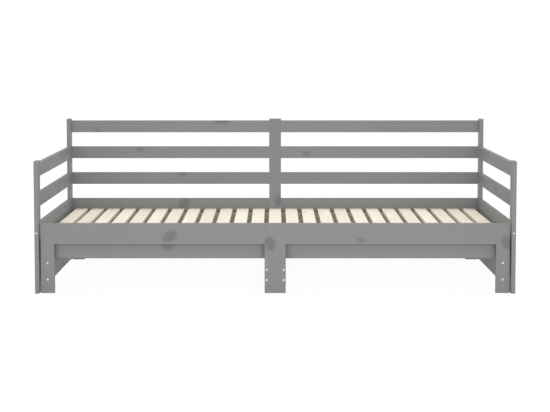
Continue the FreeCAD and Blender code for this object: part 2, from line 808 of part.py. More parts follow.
os.makedirs("parts", exist_ok=True)
for label, item in finished.items():
    item.Shape.exportStep(f"parts/{label}.step")
print(len(finished), "pieces,", sum(len(item.Shape.Solids) for item in finished.values()), "solids")
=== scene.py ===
# %% [markdown]
# # A slatted pull-out bed
# This is a day bed of grey painted pine. Its front half slides out on legs of its own, and the bare slats
# of the two halves lie between each other. The construction model is loaded first and stays where it is,
# with every board, slat and screw at its real size, in metres, with X along the bed, the front at -Y and Z
# up. All of it could be modelled again, but the boards have their shapes already and only need paint. The
# slats and the screws repeat and want finer shapes, so Geometry Nodes make them again, at the sizes and
# places that the construction has.

# %% Load the construction
import json
import math
import random
from collections import namedtuple

import bmesh
import bpy
import numpy as np
from mathutils import Matrix, Vector


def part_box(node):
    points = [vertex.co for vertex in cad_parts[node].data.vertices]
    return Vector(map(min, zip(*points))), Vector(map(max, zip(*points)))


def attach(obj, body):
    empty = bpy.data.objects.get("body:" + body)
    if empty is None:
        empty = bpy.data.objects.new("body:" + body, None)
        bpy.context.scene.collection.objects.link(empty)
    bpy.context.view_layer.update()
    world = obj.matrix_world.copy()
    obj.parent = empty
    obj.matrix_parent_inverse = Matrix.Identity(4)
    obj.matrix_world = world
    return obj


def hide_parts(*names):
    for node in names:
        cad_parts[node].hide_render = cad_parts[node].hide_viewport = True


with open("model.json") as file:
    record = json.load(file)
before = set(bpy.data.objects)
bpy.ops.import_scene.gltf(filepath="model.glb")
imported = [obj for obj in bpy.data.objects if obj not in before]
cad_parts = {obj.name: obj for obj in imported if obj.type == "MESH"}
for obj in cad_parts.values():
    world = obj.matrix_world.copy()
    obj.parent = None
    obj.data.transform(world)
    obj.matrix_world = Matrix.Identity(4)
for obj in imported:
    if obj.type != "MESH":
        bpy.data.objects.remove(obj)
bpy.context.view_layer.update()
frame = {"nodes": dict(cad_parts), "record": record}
nodes = frame["nodes"]
body_of_node = {}
for body, names in frame["record"]["behaviour"]["bodies"].items():
    body_of_node.update(dict.fromkeys(names, body))
scene = bpy.context.scene
scene.view_settings.view_transform = "Standard"


def rounded(values, places=4):
    """Numbers short enough to print."""
    return [round(value, places) for value in values]


# %% [markdown]
# ## The camera
# The picture was taken with a long lens from about six metres, and upright edges stay upright in it. A
# level camera with a large lens shift would show just that, but in other views the shift would push the
# bed out of the picture. So the shift is small, and a slight downward tilt does the rest.

# %% Camera
EYE = (-0.0031, -6.355, 1.0532)
TILT = math.radians(4.352)
LENS_MM = 91.124
SENSOR_MM = 36
SHIFT = (0.001, -0.1)

lens = bpy.data.cameras.new("studio_camera")
lens.lens = LENS_MM
lens.sensor_width = SENSOR_MM
lens.shift_x, lens.shift_y = SHIFT
camera = bpy.data.objects.new("studio_camera", lens)
camera.location = EYE
camera.rotation_euler = (math.pi / 2 - TILT, 0, 0)
scene.collection.objects.link(camera)
scene.camera = camera
print("camera at", EYE, "with a lens of", LENS_MM, "mm")

# %% [markdown]
# ## Helpers for nodes
# Materials, node groups and Geometry Nodes are all trees of nodes. Each node could be made, set and linked
# in lines of its own, but a material would then fill pages. These helpers make a node in one line: a plain
# value is set on its socket, and another node's socket is linked to it.

# %% Helpers for node trees
def add_node(tree, kind, sockets=None, **settings):
    """A node with its settings, and its sockets set to values or joined to other sockets."""
    made = tree.nodes.new(kind)
    for name, value in settings.items():
        setattr(made, name, value)
    for key, value in (sockets or {}).items():
        if isinstance(value, bpy.types.NodeSocket):
            tree.links.new(value, made.inputs[key])
        else:
            made.inputs[key].default_value = value
    return made


def maths(tree, operation, *values):
    """The result of one sum on numbers."""
    return add_node(tree, "ShaderNodeMath", dict(enumerate(values)), operation=operation).outputs[0]


def vectors(tree, operation, *values):
    """The result of one sum on vectors."""
    made = add_node(tree, "ShaderNodeVectorMath", dict(enumerate(values)), operation=operation)
    return made.outputs["Value" if operation == "LENGTH" else "Vector"]


def vector(tree, x=0.0, y=0.0, z=0.0):
    """A vector put together from numbers."""
    return add_node(tree, "ShaderNodeCombineXYZ", {"X": x, "Y": y, "Z": z}).outputs[0]


def split(tree, value):
    """The X, Y and Z of a vector."""
    return add_node(tree, "ShaderNodeSeparateXYZ", {"Vector": value}).outputs


def fade(tree, value, start, end, low=0.0, high=1.0):
    """A soft step of a value, from low at start to high at end."""
    sockets = {"Value": value, "From Min": start, "From Max": end, "To Min": low, "To Max": high}
    return add_node(tree, "ShaderNodeMapRange", sockets, interpolation_type="SMOOTHSTEP").outputs["Result"]


SOCKET_KINDS = {float: "Float", int: "Int", tuple: "Vector"}


def new_group(name, kind, inputs, outputs):
    """A node group and its sockets inside. An input is named with its usual value, or with its kind."""
    tree = bpy.data.node_groups.new(name, kind)
    for label, usual in inputs.items():
        socket = SOCKET_KINDS.get(type(usual), usual)
        made = tree.interface.new_socket(label, in_out="INPUT", socket_type=f"NodeSocket{socket}")
        if socket != usual:
            made.default_value = usual
    for label, socket in outputs.items():
        tree.interface.new_socket(label, in_out="OUTPUT", socket_type=f"NodeSocket{socket}")
    return tree, tree.nodes.new("NodeGroupInput").outputs, tree.nodes.new("NodeGroupOutput").inputs


NODE_HELPERS = (add_node, maths, vectors, vector, split, fade, new_group)
print("helpers for nodes:", [helper.__name__ for helper in NODE_HELPERS])

# %% [markdown]
# ## The studio
# Furniture is pictured in a white room under large soft lamps. The white could come from strong light, but
# that would burn out the pale slats. So the world and the floor are white only where they are seen
# directly, which a Light Path node tells, and light the bed at a plain level. Three soft boxes, overhead,
# in front and a weak one behind, give the faces of the boards their different greys.

# %% White world
AMBIENT = 0.62
WHITE = (1, 1, 1, 1)


def empty_tree(owner):
    """The node tree of a world or a material, with nothing in it yet."""
    owner.use_nodes = True
    owner.node_tree.nodes.clear()
    return owner.node_tree


def lit_or_seen(tree, lit, seen):
    """One shader that lights the bed, and another that is seen directly."""
    path = add_node(tree, "ShaderNodeLightPath").outputs
    either = maths(tree, "MAXIMUM", path["Is Camera Ray"], path["Is Glossy Ray"])
    direct = maths(tree, "MAXIMUM", either, path["Is Transmission Ray"])
    sockets = {0: direct, 1: lit.outputs[0], 2: seen.outputs[0]}
    return add_node(tree, "ShaderNodeMixShader", sockets).outputs[0]


world = bpy.data.worlds.new("studio")
scene.world = world
tree = empty_tree(world)
glow = add_node(tree, "ShaderNodeBackground", {"Color": WHITE, "Strength": AMBIENT})
backdrop = add_node(tree, "ShaderNodeBackground", {"Color": WHITE, "Strength": 1})
add_node(tree, "ShaderNodeOutputWorld", {"Surface": lit_or_seen(tree, glow, backdrop)})
print("world lights the bed at", AMBIENT)

# %% Pale floor
FLOOR_REACH = 30
FLOOR_COLOUR = (0.5, 0.5, 0.5, 1)
FLOOR_GLOW = 0.92
FLOOR_SHADE = (0.13, 0.13, 0.13, 1)

floor_mesh = bpy.data.meshes.new("floor")
corners = [(x * FLOOR_REACH, y * FLOOR_REACH, 0) for x, y in ((-1, -1), (1, -1), (1, 1), (-1, 1))]
floor_mesh.from_pydata(corners, [], [(0, 1, 2, 3)])
floor = bpy.data.objects.new("floor", floor_mesh)
scene.collection.objects.link(floor)

pale = bpy.data.materials.new("pale_floor")
tree = empty_tree(pale)
matt = add_node(tree, "ShaderNodeBsdfDiffuse", {"Color": FLOOR_COLOUR})
glow = add_node(tree, "ShaderNodeEmission", {"Color": WHITE, "Strength": FLOOR_GLOW})
shadow = add_node(tree, "ShaderNodeBsdfDiffuse", {"Color": FLOOR_SHADE})
white = add_node(tree, "ShaderNodeAddShader", {0: glow.outputs[0], 1: shadow.outputs[0]})
add_node(tree, "ShaderNodeOutputMaterial", {"Surface": lit_or_seen(tree, matt, white)})
floor_mesh.materials.append(pale)
print("floor of", 2 * FLOOR_REACH, "m")

# %% Soft boxes
SoftBox = namedtuple("SoftBox", "name place aim width depth watts")
SOFT_BOXES = (
    SoftBox("overhead_box", (0, 0.8, 4.6), (0, 0.5, 0), 3.4, 1.0, 104),
    SoftBox("front_box", (0, -4.3, 0.9), (0, -0.4, 0.3), 5.0, 1.0, 98),
    SoftBox("back_box", (0, 4.6, 0.9), (0, 0.5, 0.35), 2.4, 1.0, 45),
)

for box in SOFT_BOXES:
    light = bpy.data.lights.new(box.name, "AREA")
    light.shape = "RECTANGLE"
    light.size, light.size_y = box.width, box.depth
    light.energy = box.watts
    lamp = bpy.data.objects.new(box.name, light)
    lamp.location = box.place
    lamp.rotation_euler = (Vector(box.aim) - Vector(box.place)).to_track_quat("-Z", "Y").to_euler()
    lamp.visible_camera = False
    lamp.visible_glossy = False
    scene.collection.objects.link(lamp)
print("soft boxes:", [box.name for box in SOFT_BOXES])

# %% [markdown]
# ## A board's own directions
# Every wood pattern has to know which way its board runs. That could be written down board by board, but a
# board is longest along its grain and thinnest through its faces, so its box in the frame tells it.
# Patterns are placed along the grain, through the thickness and across the width, in metres from the
# middle of the board.

# %% Directions of a board
Board = namedtuple("Board", "centre half turn")


def board_of(name):
    """Middle, half sizes and turn of a board: X along its grain, Y through it and Z across it."""
    low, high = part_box(name)
    sides = list(high - low)
    along, through = sides.index(max(sides)), sides.index(min(sides))
    across = ({0, 1, 2} - {along, through}).pop()
    grain, facing = Vector(), Vector()
    grain[along] = 1
    facing[through] = 1
    turn = Matrix((grain, facing, grain.cross(facing))).transposed()
    return Board((low + high) / 2, Vector((sides[along], sides[through], sides[across])) / 2, turn)


def on_board(board, place):
    """A place in the room, seen from the middle of a board in the board's own directions."""
    return board.turn.transposed() @ (Vector(place) - board.centre)


print("half sizes of a front board:", rounded(board_of("front_board_left").half))

# %% [markdown]
# ## How pine grows
# A plank is a slice of a trunk. Its rings are tubes round the pith, which lies somewhere beside the plank,
# and each year's wood gets darker until the next spring. A picture of wood could be laid on every face,
# but its lines would not meet at the edges. The distance from the pith, repeated by the ring width, gives
# lines on the faces and arcs on the ends from one rule. Good and poor years make the rings uneven, and a
# trunk gets thinner upwards, so lines run out of a face in long arches. A Noise Texture stretched along
# the grain makes the tubes wander, and a finer one gives the fibres.

# %% Group: growth rings and fibres
Noise = namedtuple("Noise", "stretch detail")
SWAY = Noise((1.1, 6, 6), 2)
FIBRES = Noise((16, 800, 800), 3)
CLOUDS = Noise((2.2, 14, 14), 3)
NO_SWAY = (0.5, 0.5, 0.5)
CROSS_SECTION = (0, 1, 1)
GOOD_YEARS = 0.37
UNEVEN_YEARS = 2.2
SUMMER = (0.25, 0.9)
SPRING = (1.0, 0.93)


def noise(tree, place, kind):
    """Stretched noise, as a number called Fac and as a colour called Color."""
    stretched = vectors(tree, "MULTIPLY", place, kind.stretch)
    sockets = {"Vector": stretched, "Scale": 1, "Detail": kind.detail}
    return add_node(tree, "ShaderNodeTexNoise", sockets).outputs


def make_growth_group():
    """The dark part of each ring, the fibres and the soft clouds of a plank."""
    inputs = {
        "Place": "Vector",
        "Slide": "Vector",
        "Pith": (0, 0.05, 0.03),
        "Ring Width": 0.004,
        "Wander": 0.012,
        "Taper": 0.008,
    }
    outputs = {"Latewood": "Float", "Fibre": "Float", "Cloud": "Float"}
    tree, given, result = new_group("pine_growth", "ShaderNodeTree", inputs, outputs)
    place = vectors(tree, "ADD", given["Place"], given["Slide"])
    sway = vectors(tree, "SUBTRACT", noise(tree, place, SWAY)["Color"], NO_SWAY)
    sway = vectors(tree, "MULTIPLY", sway, vector(tree, y=given["Wander"], z=given["Wander"]))
    offset = vectors(tree, "SUBTRACT", vectors(tree, "ADD", given["Place"], sway), given["Pith"])
    from_pith = vectors(tree, "LENGTH", vectors(tree, "MULTIPLY", offset, CROSS_SECTION))
    along = split(tree, given["Place"])["X"]
    from_pith = maths(tree, "MULTIPLY_ADD", along, given["Taper"], from_pith)
    years = maths(tree, "DIVIDE", from_pith, given["Ring Width"])
    weather = {"W": years, "Scale": GOOD_YEARS, "Detail": 1}
    season = add_node(tree, "ShaderNodeTexNoise", weather, noise_dimensions="1D").outputs["Fac"]
    year = maths(tree, "FRACT", maths(tree, "MULTIPLY_ADD", season, UNEVEN_YEARS, years))
    late = maths(tree, "MULTIPLY", fade(tree, year, *SUMMER), fade(tree, year, *SPRING))
    tree.links.new(late, result["Latewood"])
    tree.links.new(noise(tree, place, FIBRES)["Fac"], result["Fibre"])
    tree.links.new(noise(tree, place, CLOUDS)["Fac"], result["Cloud"])
    return tree


pine_growth = make_growth_group()
print("group:", pine_growth.name, "with", len(pine_growth.nodes), "nodes")

# %% [markdown]
# ## Knots
# A knot is a branch cut through: a dark oval with a ragged rim and close rings of its own. It could be
# drawn on a texture, but an oval measured in the board's own directions goes through the wood and shows on
# both faces. So one group makes a knot at a given place, with its reach along and across the grain and its
# turn.

# %% Group: one knot at a place
RAGGED = Noise((70, 70, 70), 2)
RAGGED_SHARE = 0.3
KNOT_RIM = (1.42, 0.75)
KNOT_RINGS = 5
KNOT_OUTPUTS = {"Knot": "Float", "Rings": "Float"}
FACE = (1, 0, 1)


def put_out_knot(tree, result, distance, inside, count):
    """Puts out how much a place lies in a knot, and the rings that the knot has."""
    rings = maths(tree, "FRACT", maths(tree, "MULTIPLY", distance, count))
    tree.links.new(inside, result["Knot"])
    tree.links.new(maths(tree, "MULTIPLY", rings, inside), result["Rings"])


def make_knot_group():
    """One knot that goes straight through a board."""
    inputs = {"Place": "Vector", "Middle": "Vector", "Reach": (0.02, 1, 0.02), "Turn": 0.0}
    tree, given, result = new_group("knot", "ShaderNodeTree", inputs, KNOT_OUTPUTS)
    offset = vectors(tree, "SUBTRACT", given["Place"], given["Middle"])
    sockets = {"Vector": offset, "Angle": given["Turn"]}
    turned = add_node(tree, "ShaderNodeVectorRotate", sockets, rotation_type="Y_AXIS").outputs[0]
    flat = vectors(tree, "MULTIPLY", vectors(tree, "DIVIDE", turned, given["Reach"]), FACE)
    ragged = maths(tree, "MULTIPLY", noise(tree, given["Place"], RAGGED)["Fac"], RAGGED_SHARE)
    distance = maths(tree, "ADD", vectors(tree, "LENGTH", flat), ragged)
    put_out_knot(tree, result, distance, fade(tree, distance, *KNOT_RIM), KNOT_RINGS)
    return tree


knot_group = make_knot_group()
print("group:", knot_group.name, "with", len(knot_group.nodes), "nodes")

# %% [markdown]
# ## Scattered knots
# The slats and the boards that are mostly out of sight have knots too. Each could be given its place, but
# nobody would tell it from chance. A Voronoi Texture parts a plank into cells with colours of their own:
# the red chooses the few cells that hold a knot, and the green sets its size.

# %% Group: knots scattered over a plank
CELL_RANDOMNESS = 0.8
SMALLEST_KNOT = 0.004
KNOT_RANGE = 0.008
SCATTERED_RIM = (1.15, 0.8)
SCATTERED_RINGS = 3


def make_scatter_group():
    """Round knots at chance places of a plank."""
    inputs = {"Place": "Vector", "Slide": "Vector", "Spacing": (0.3, 0.06, 1), "Share": 0.4}
    tree, given, result = new_group("scattered_knots", "ShaderNodeTree", inputs, KNOT_OUTPUTS)
    place = split(tree, vectors(tree, "ADD", given["Place"], given["Slide"]))
    face = vector(tree, place["X"], place["Z"])
    cells = vectors(tree, "DIVIDE", face, given["Spacing"])
    sockets = {"Vector": cells, "Scale": 1, "Randomness": CELL_RANDOMNESS}
    near = add_node(tree, "ShaderNodeTexVoronoi", sockets, voronoi_dimensions="2D").outputs
    chance = add_node(tree, "ShaderNodeSeparateColor", {"Color": near["Color"]}).outputs
    offset = vectors(tree, "SUBTRACT", cells, near["Position"])
    offset = vectors(tree, "LENGTH", vectors(tree, "MULTIPLY", offset, given["Spacing"]))
    radius = maths(tree, "MULTIPLY_ADD", chance["Green"], KNOT_RANGE, SMALLEST_KNOT)
    distance = maths(tree, "DIVIDE", offset, radius)
    chosen = maths(tree, "LESS_THAN", chance["Red"], given["Share"])
    inside = maths(tree, "MULTIPLY", fade(tree, distance, *SCATTERED_RIM), chosen)
    put_out_knot(tree, result, distance, inside, SCATTERED_RINGS)
    return tree


scatter_group = make_scatter_group()
print("group:", scatter_group.name, "with", len(scatter_group.nodes), "nodes")

# %% [markdown]
# ## Edges and ends
# Paint lies thinner on a rounded edge and sinks into end grain. A Bevel node could find the edges, but it
# sends out extra rays at every point. A board is a box, so the distance from its nearest edge follows from
# its half sizes: of the distances to the three pairs of faces, one is nothing on a face, and the smaller
# of the other two leads to the edge.

# %% Group: edges and ends of a board
END_DEPTH = 0.0015


def make_edge_group():
    """How near a place is to an edge of its board, and to its end grain."""
    inputs = {"Place": "Vector", "Half Size": (1, 1, 1), "Width": 0.004}
    outputs = {"Edge": "Float", "End": "Float"}
    tree, given, result = new_group("board_edges", "ShaderNodeTree", inputs, outputs)
    inset = vectors(tree, "SUBTRACT", given["Half Size"], vectors(tree, "ABSOLUTE", given["Place"]))
    x, y, z = split(tree, inset)
    lowest = maths(tree, "MINIMUM", maths(tree, "MINIMUM", x, y), z)
    highest = maths(tree, "MAXIMUM", maths(tree, "MAXIMUM", x, y), z)
    total = maths(tree, "ADD", maths(tree, "ADD", x, y), z)
    middle_one = maths(tree, "SUBTRACT", maths(tree, "SUBTRACT", total, lowest), highest)
    tree.links.new(fade(tree, middle_one, given["Width"], 0.0), result["Edge"])
    tree.links.new(fade(tree, x, END_DEPTH, 0.0), result["End"])
    return tree


edge_group = make_edge_group()
print("group:", edge_group.name, "with", len(edge_group.nodes), "nodes")

# %% [markdown]
# ## Helpers for materials
# Every finish of this bed is put together alike. Traits of the surface, such as rings, fibres and knots,
# are weighed and added up to a tone, a roughness and a relief. These go into one Principled BSDF, the
# relief by way of a Bump node. The weights could stand among the nodes, but in small tables they can be
# read and changed at a glance.

# %% Helpers for materials
Finish = namedtuple("Finish", "rough_start rough relief strength depth")
Scatter = namedtuple("Scatter", "spacing share")


def new_material(name):
    """A material, its tree and the sockets of its Principled BSDF."""
    material = bpy.data.materials.new(name)
    material.use_nodes = True
    tree = material.node_tree
    return material, tree, tree.nodes["Principled BSDF"].inputs


def group_node(tree, group, sockets):
    """A node group placed in a material with its own values, and what it puts out by name."""
    made = add_node(tree, "ShaderNodeGroup", sockets, node_tree=group)
    return {socket.name: socket for socket in made.outputs}


def scattered_knots(tree, place, slide, scatter):
    """Knots left to chance, in cells of a given spacing of which a given share holds one."""
    sockets = {"Place": place, "Slide": slide, "Spacing": scatter.spacing, "Share": scatter.share}
    return group_node(tree, scatter_group, sockets)


def weighted(tree, traits, weights, start=0.0):
    """A start value plus some traits, each times its weight."""
    total = start
    for name, weight in weights.items():
        total = maths(tree, "MULTIPLY_ADD", traits[name], weight, total)
    return total


def blend_colours(tree, factor, first, second):
    """A colour between two others. A Mix node has its colours at sockets 6 and 7 and puts one out at 2."""
    sockets = {"Factor": factor, 6: first, 7: second}
    return add_node(tree, "ShaderNodeMix", sockets, data_type="RGBA").outputs[2]


def dress(tree, surface, colour, traits, finish):
    """Joins a colour and the roughness and relief of a finish to the shader of a material."""
    height = weighted(tree, traits, finish.relief)
    sockets = {"Strength": finish.strength, "Distance": finish.depth, "Height": height}
    tree.links.new(colour, surface["Base Color"])
    tree.links.new(weighted(tree, traits, finish.rough, finish.rough_start), surface["Roughness"])
    tree.links.new(add_node(tree, "ShaderNodeBump", sockets).outputs[0], surface["Normal"])


MATERIAL_HELPERS = (new_material, group_node, scattered_knots, weighted, blend_colours, dress)
print("helpers for materials:", [helper.__name__ for helper in MATERIAL_HELPERS])

# %% [markdown]
# ## The knots that show
# On the boards in full view, knots show through the paint as soft, darker ovals. They could be scattered
# too, but the picture shows where they are. Each has its distance along the face from the middle of the
# bed and its height above the floor, half its length and half its width, its turn in degrees and how
# strongly it shows.

# %% Knots in full view
Knot = namedtuple("Knot", "level height along across turn depth")
KNOTS = {
    "front_board_left": [Knot(-0.447, 0.243, 0.035, 0.023, 35, 1)],
    "front_board_right": [Knot(0.3645, 0.227, 0.022, 0.0105, 0, 0.75)],
    "front_centre_leg": [Knot(-0.0216, 0.2118, 0.034, 0.0225, 21, 1)],
    "front_leg_right": [Knot(0.9845, 0.2165, 0.033, 0.024, 21, 1)],
    "front_support_rail_left": [Knot(-0.456, 0.205, 0.029, 0.028, 0, 1)],
    "back_top_rail_left": [
        Knot(-0.2618, 0.684, 0.042, 0.02, 0, 1),
        Knot(-0.8735, 0.636, 0.017, 0.0085, 0, 0.75),
    ],
    "back_upper_rail_left": [Knot(-0.664, 0.5403, 0.024, 0.014, 0, 0.6)],
    "back_upper_rail_right": [Knot(0.1535, 0.5176, 0.021, 0.014, 0, 0.7)],
    "back_lower_rail_left": [Knot(-0.4616, 0.427, 0.028, 0.016, 0, 0.9)],
    "back_bed_rail_left": [Knot(-0.4527, 0.2719, 0.034, 0.023, 35, 1)],
    "back_centre_post": [Knot(0.017, 0.2877, 0.03, 0.02, -8, 1)],
    "side_middle_rail_left": [Knot(0.065, 0.397, 0.08, 0.027, 0, 0.4)],
    "side_middle_rail_right": [Knot(-0.066, 0.398, 0.042, 0.024, 0, 0.7)],
}


def middle_of_knot(board, knot):
    """The middle of a knot in the directions of its board, which faces the front or a side."""
    through = board.turn.col[1]
    if through.x:
        return on_board(board, (board.centre.x, knot.level, knot.height))
    return on_board(board, (knot.level, board.centre.y, knot.height))


def placed_knots(tree, name, board, place):
    """The knots of one board, and their rings."""
    traits = {"Knot": 0.0, "Rings": 0.0}
    for knot in KNOTS.get(name, ()):
        sockets = {
            "Place": place,
            "Middle": middle_of_knot(board, knot),
            "Reach": (knot.along, 1, knot.across),
            "Turn": math.radians(knot.turn),
        }
        found = group_node(tree, knot_group, sockets)
        for trait, strongest in traits.items():
            shown = maths(tree, "MULTIPLY", found[trait], knot.depth)
            traits[trait] = maths(tree, "MAXIMUM", shown, strongest)
    return traits


print("knots placed:", sum(len(found) for found in KNOTS.values()))

# %% [markdown]
# ## Coats of paint, with painted light and shade
# Some boards are painted paler or darker by a few percent, a painted light and shade that evens out how
# the lamps fall on each board, and the boards above the slats are a touch cooler, against the warm light
# that the slats throw on them. Chance could set these shares, but a table by piece keeps the balance of the
# picture. Behind the ends of the slats a paler, warmer colour is painted, a painted light for the warm
# light that bounces between the slats, and the upper edges of the side rails are painted darker, a painted
# shade on their lit tops.

# %% Coats of the boards
PAINT = (0.2505, 0.2512, 0.252)
# Painted light and shade: above one a board is painted paler, below one darker, to even out how the lamps
# fall.
PAINTED_LIGHT_SHARES = {
    "back_top": 1.05,
    "back_upper": 1.03,
    "back_lower": 0.98,
    "back_bed": 0.95,
    "back_post": 1.03,
    "side_top": 0.96,
    "side_middle": 0.92,
    "side_bed": 0.96,
    "front_support": 1.04,
    "outer_runner": 1.08,
}
# Painted colour against light: boards above the slats are painted cooler to offset the warm bounce from the
# slats.
ABOVE_THE_SLATS = ("back_top", "back_upper", "back_lower", "back_post", "back_centre", "side_")
PAINTED_COOL_TINT = (0.99, 0.998, 1.02)
PLAIN = (1, 1, 1)
UP = Vector((0, 0, 1))
PAINTED_BOUNCE_FADE = 0.002


def coat_with_painted_light(name):
    """The paint of one board, made paler or darker as painted light and shade, and cooler against bounce.
    """
    share = next((share for start, share in PAINTED_LIGHT_SHARES.items() if name.startswith(start)), 1)
    tint = PAINTED_COOL_TINT if name.startswith(ABOVE_THE_SLATS) else PLAIN
    return [part * share * cool for part, cool in zip(PAINT, tint)]


def shade(colour, factor):
    """A colour made darker or lighter."""
    return (*(part * factor for part in colour), 1)


def near_face(tree, reached, level, depth):
    """One where a distance from the middle of a board has reached a level, and none before."""
    return fade(tree, reached, level - math.copysign(depth, level), level)


def near_top(tree, board, place, depth):
    """One at the upper edge of a lying board, and none lower down."""
    level = on_board(board, board.centre + UP * board.half.z).z
    return near_face(tree, split(tree, place)["Z"], level, depth)


# Mask of the shaded strip behind the slat ends, where a painted light is laid.
def behind_the_slats(tree, board, place):
    """One on the front of a back bed rail, below the top of the slats."""
    slat_top = on_board(board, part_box("fixed_slats")[1]).z
    own = split(tree, place)
    below = fade(tree, own["Z"], slat_top, slat_top - PAINTED_BOUNCE_FADE)
    return maths(tree, "MULTIPLY", below, near_face(tree, own["Y"], -board.half.y, PAINTED_BOUNCE_FADE))


print("coat of the front boards:", rounded(coat_with_painted_light("front_board_left")))
print("coat of the top rails:", rounded(coat_with_painted_light("back_top_rail_left")))

# %% [markdown]
# ## Grey paint over pine
# The boards are sprayed in a satin grey that lets the wood show faintly: soft ovals where knots lie, a
# trace of the rings and fibres in the gloss, and the slight unevenness of sprayed lacquer. One material
# could serve them all, but grain would then run on from one board into the next. So one function makes
# each board a material of its own, with its own place in the trunk.

# %% The look of the paint
PAINT_DARK = 0.72
PAINT_LIGHT = 1.12
PAINT_GLOSS = 0.22
PAINT_TONE_START = 0.65
PAINT_TONE = {
    "Cloud": 0.16,
    "Latewood": -0.035,
    "Fibre": -0.05,
    "Knot": -0.58,
    "Rings": -0.12,
    "Edge": 0.05,
    "End": -0.12,
    # painted shade on the lamp-lit upper edges of the side rails
    "Painted Top Shade": -0.45,
}
SATIN = Finish(
    rough_start=0.49,
    rough={"Cloud": 0.12, "End": 0.12, "Latewood": -0.04},
    relief={"Latewood": 0.5, "Fibre": 0.35, "Peel": 0.3, "Rings": 0.4},
    strength=0.25,
    depth=0.0004,
)
PEEL = Noise((420, 420, 420), 1)
EDGE_WIDTH = 0.002
# Painted light: a paler, warmer colour behind the slat ends, standing in for light bounced between the
# slats.
PAINTED_BOUNCE_PINE = (0.74, 0.62, 0.45, 1)
PAINTED_BOUNCE_SHARE = 0.12
print("paint from", rounded(shade(PAINT, PAINT_DARK)), "to", rounded(shade(PAINT, PAINT_LIGHT)))

# %% Painted pine
OUT_OF_SIGHT = ("runner", "ledger", "rear", "support_leg")
HIDDEN_KNOTS = Scatter((0.55, 0.12, 1), 0.35)
SLIDE_REACH = 9
PITH_DEPTH = (0.03, 0.09)
PITH_SIDE = (-0.05, 0.05)
TRUNK_SEED = 11
chance = random.Random(TRUNK_SEED)


def place_on_board(tree, board):
    """Object coordinates turned into the directions of one board, from its middle."""
    inside = add_node(tree, "ShaderNodeTexCoord").outputs["Object"]
    settings = {"Vector": inside, "Location": board.centre, "Rotation": board.turn.to_euler()}
    return add_node(tree, "ShaderNodeMapping", settings, vector_type="TEXTURE").outputs[0]


def painted_pine(name):
    """Satin grey paint over the pine of one board."""
    board = board_of(name)
    material, tree, surface = new_material(f"painted_{name}")
    place = place_on_board(tree, board)
    slide = [chance.uniform(-SLIDE_REACH, SLIDE_REACH) for _ in range(3)]
    pith = (0, chance.choice((-1, 1)) * chance.uniform(*PITH_DEPTH), chance.uniform(*PITH_SIDE))
    if any(word in name for word in OUT_OF_SIGHT):
        knots = scattered_knots(tree, place, slide, HIDDEN_KNOTS)
    else:
        knots = placed_knots(tree, name, board, place)
    traits = {
        **group_node(tree, pine_growth, {"Place": place, "Slide": slide, "Pith": pith}),
        **group_node(tree, edge_group, {"Place": place, "Half Size": board.half, "Width": EDGE_WIDTH}),
        **knots,
        "Peel": noise(tree, place, PEEL)["Fac"],
        # painted shade: the side rails' upper edges are darkened where the overhead lamp lights them
        "Painted Top Shade": near_top(tree, board, place, EDGE_WIDTH) if name.startswith("side_") else 0.0,
    }
    coat = coat_with_painted_light(name)
    tone = weighted(tree, traits, PAINT_TONE, PAINT_TONE_START)
    colour = blend_colours(tree, tone, shade(coat, PAINT_DARK), shade(coat, PAINT_LIGHT))
    # Painted light on the back bed rail's front, below the slat tops, where the slats shade it.
    if name.startswith("back_bed"):
        painted_bounce = maths(tree, "MULTIPLY", behind_the_slats(tree, board, place), PAINTED_BOUNCE_SHARE)
        colour = blend_colours(tree, painted_bounce, colour, PAINTED_BOUNCE_PINE)
    dress(tree, surface, colour, traits, SATIN)
    surface["Specular IOR Level"].default_value = PAINT_GLOSS
    return material


PAINTED = [name for name, node in nodes.items() if node.data.materials[0].name == "grey_painted_pine"]
for name in sorted(PAINTED):
    nodes[name].data.materials[0] = painted_pine(name)
print("painted boards:", len(PAINTED))

# %% [markdown]
# ## Sawn rear rails
# In the gaps between the slats the picture shows the colour of bare wood. The two rear rails lie there, so
# they were left bare and only sawn. They could have the planed wood of the slats, but a saw leaves fine,
# slightly uneven marks across the grain, so a Math node set to Ping-Pong repeats a mark along the rail.
# The upper edge is painted darker, a painted shade on the top face that the lamps light through the gaps.

# %% Sawn pine
SAWN_PINE = (0.74, 0.7, 0.615, 1)
SAWN_DARK = (0.55, 0.44, 0.32, 1)
SAWN_TONE = {"Latewood": 0.35, "Fibre": 0.25, "Saw": 0.3, "Knot": 0.6}
ROUGH_SAWN = Finish(
    rough_start=0.7,
    rough={"Fibre": 0.2},
    relief={"Saw": 0.8, "Fibre": 0.6, "Latewood": 0.3},
    strength=0.5,
    depth=0.0006,
)
SAWN_KNOTS = Scatter((0.5, 0.1, 1), 0.35)
SAWN_PITH_DEPTH = (0.03, 0.08)
SAWN_PITH_SIDE = (-0.04, 0.04)
SAW_PITCH = 0.0022
SAW_WANDER = 3
SAW_DEPTH = 0.5
# Painted shade: darker colour on the rear rails' lit top face.
PAINTED_TOP_SHADE_PINE = (0.33, 0.26, 0.18, 1)
TOP_SHADE_DEPTH = 0.005
TOP_SHADE_STRENGTH = 0.7
SAWN = ("rear_rail_left", "rear_rail_right")


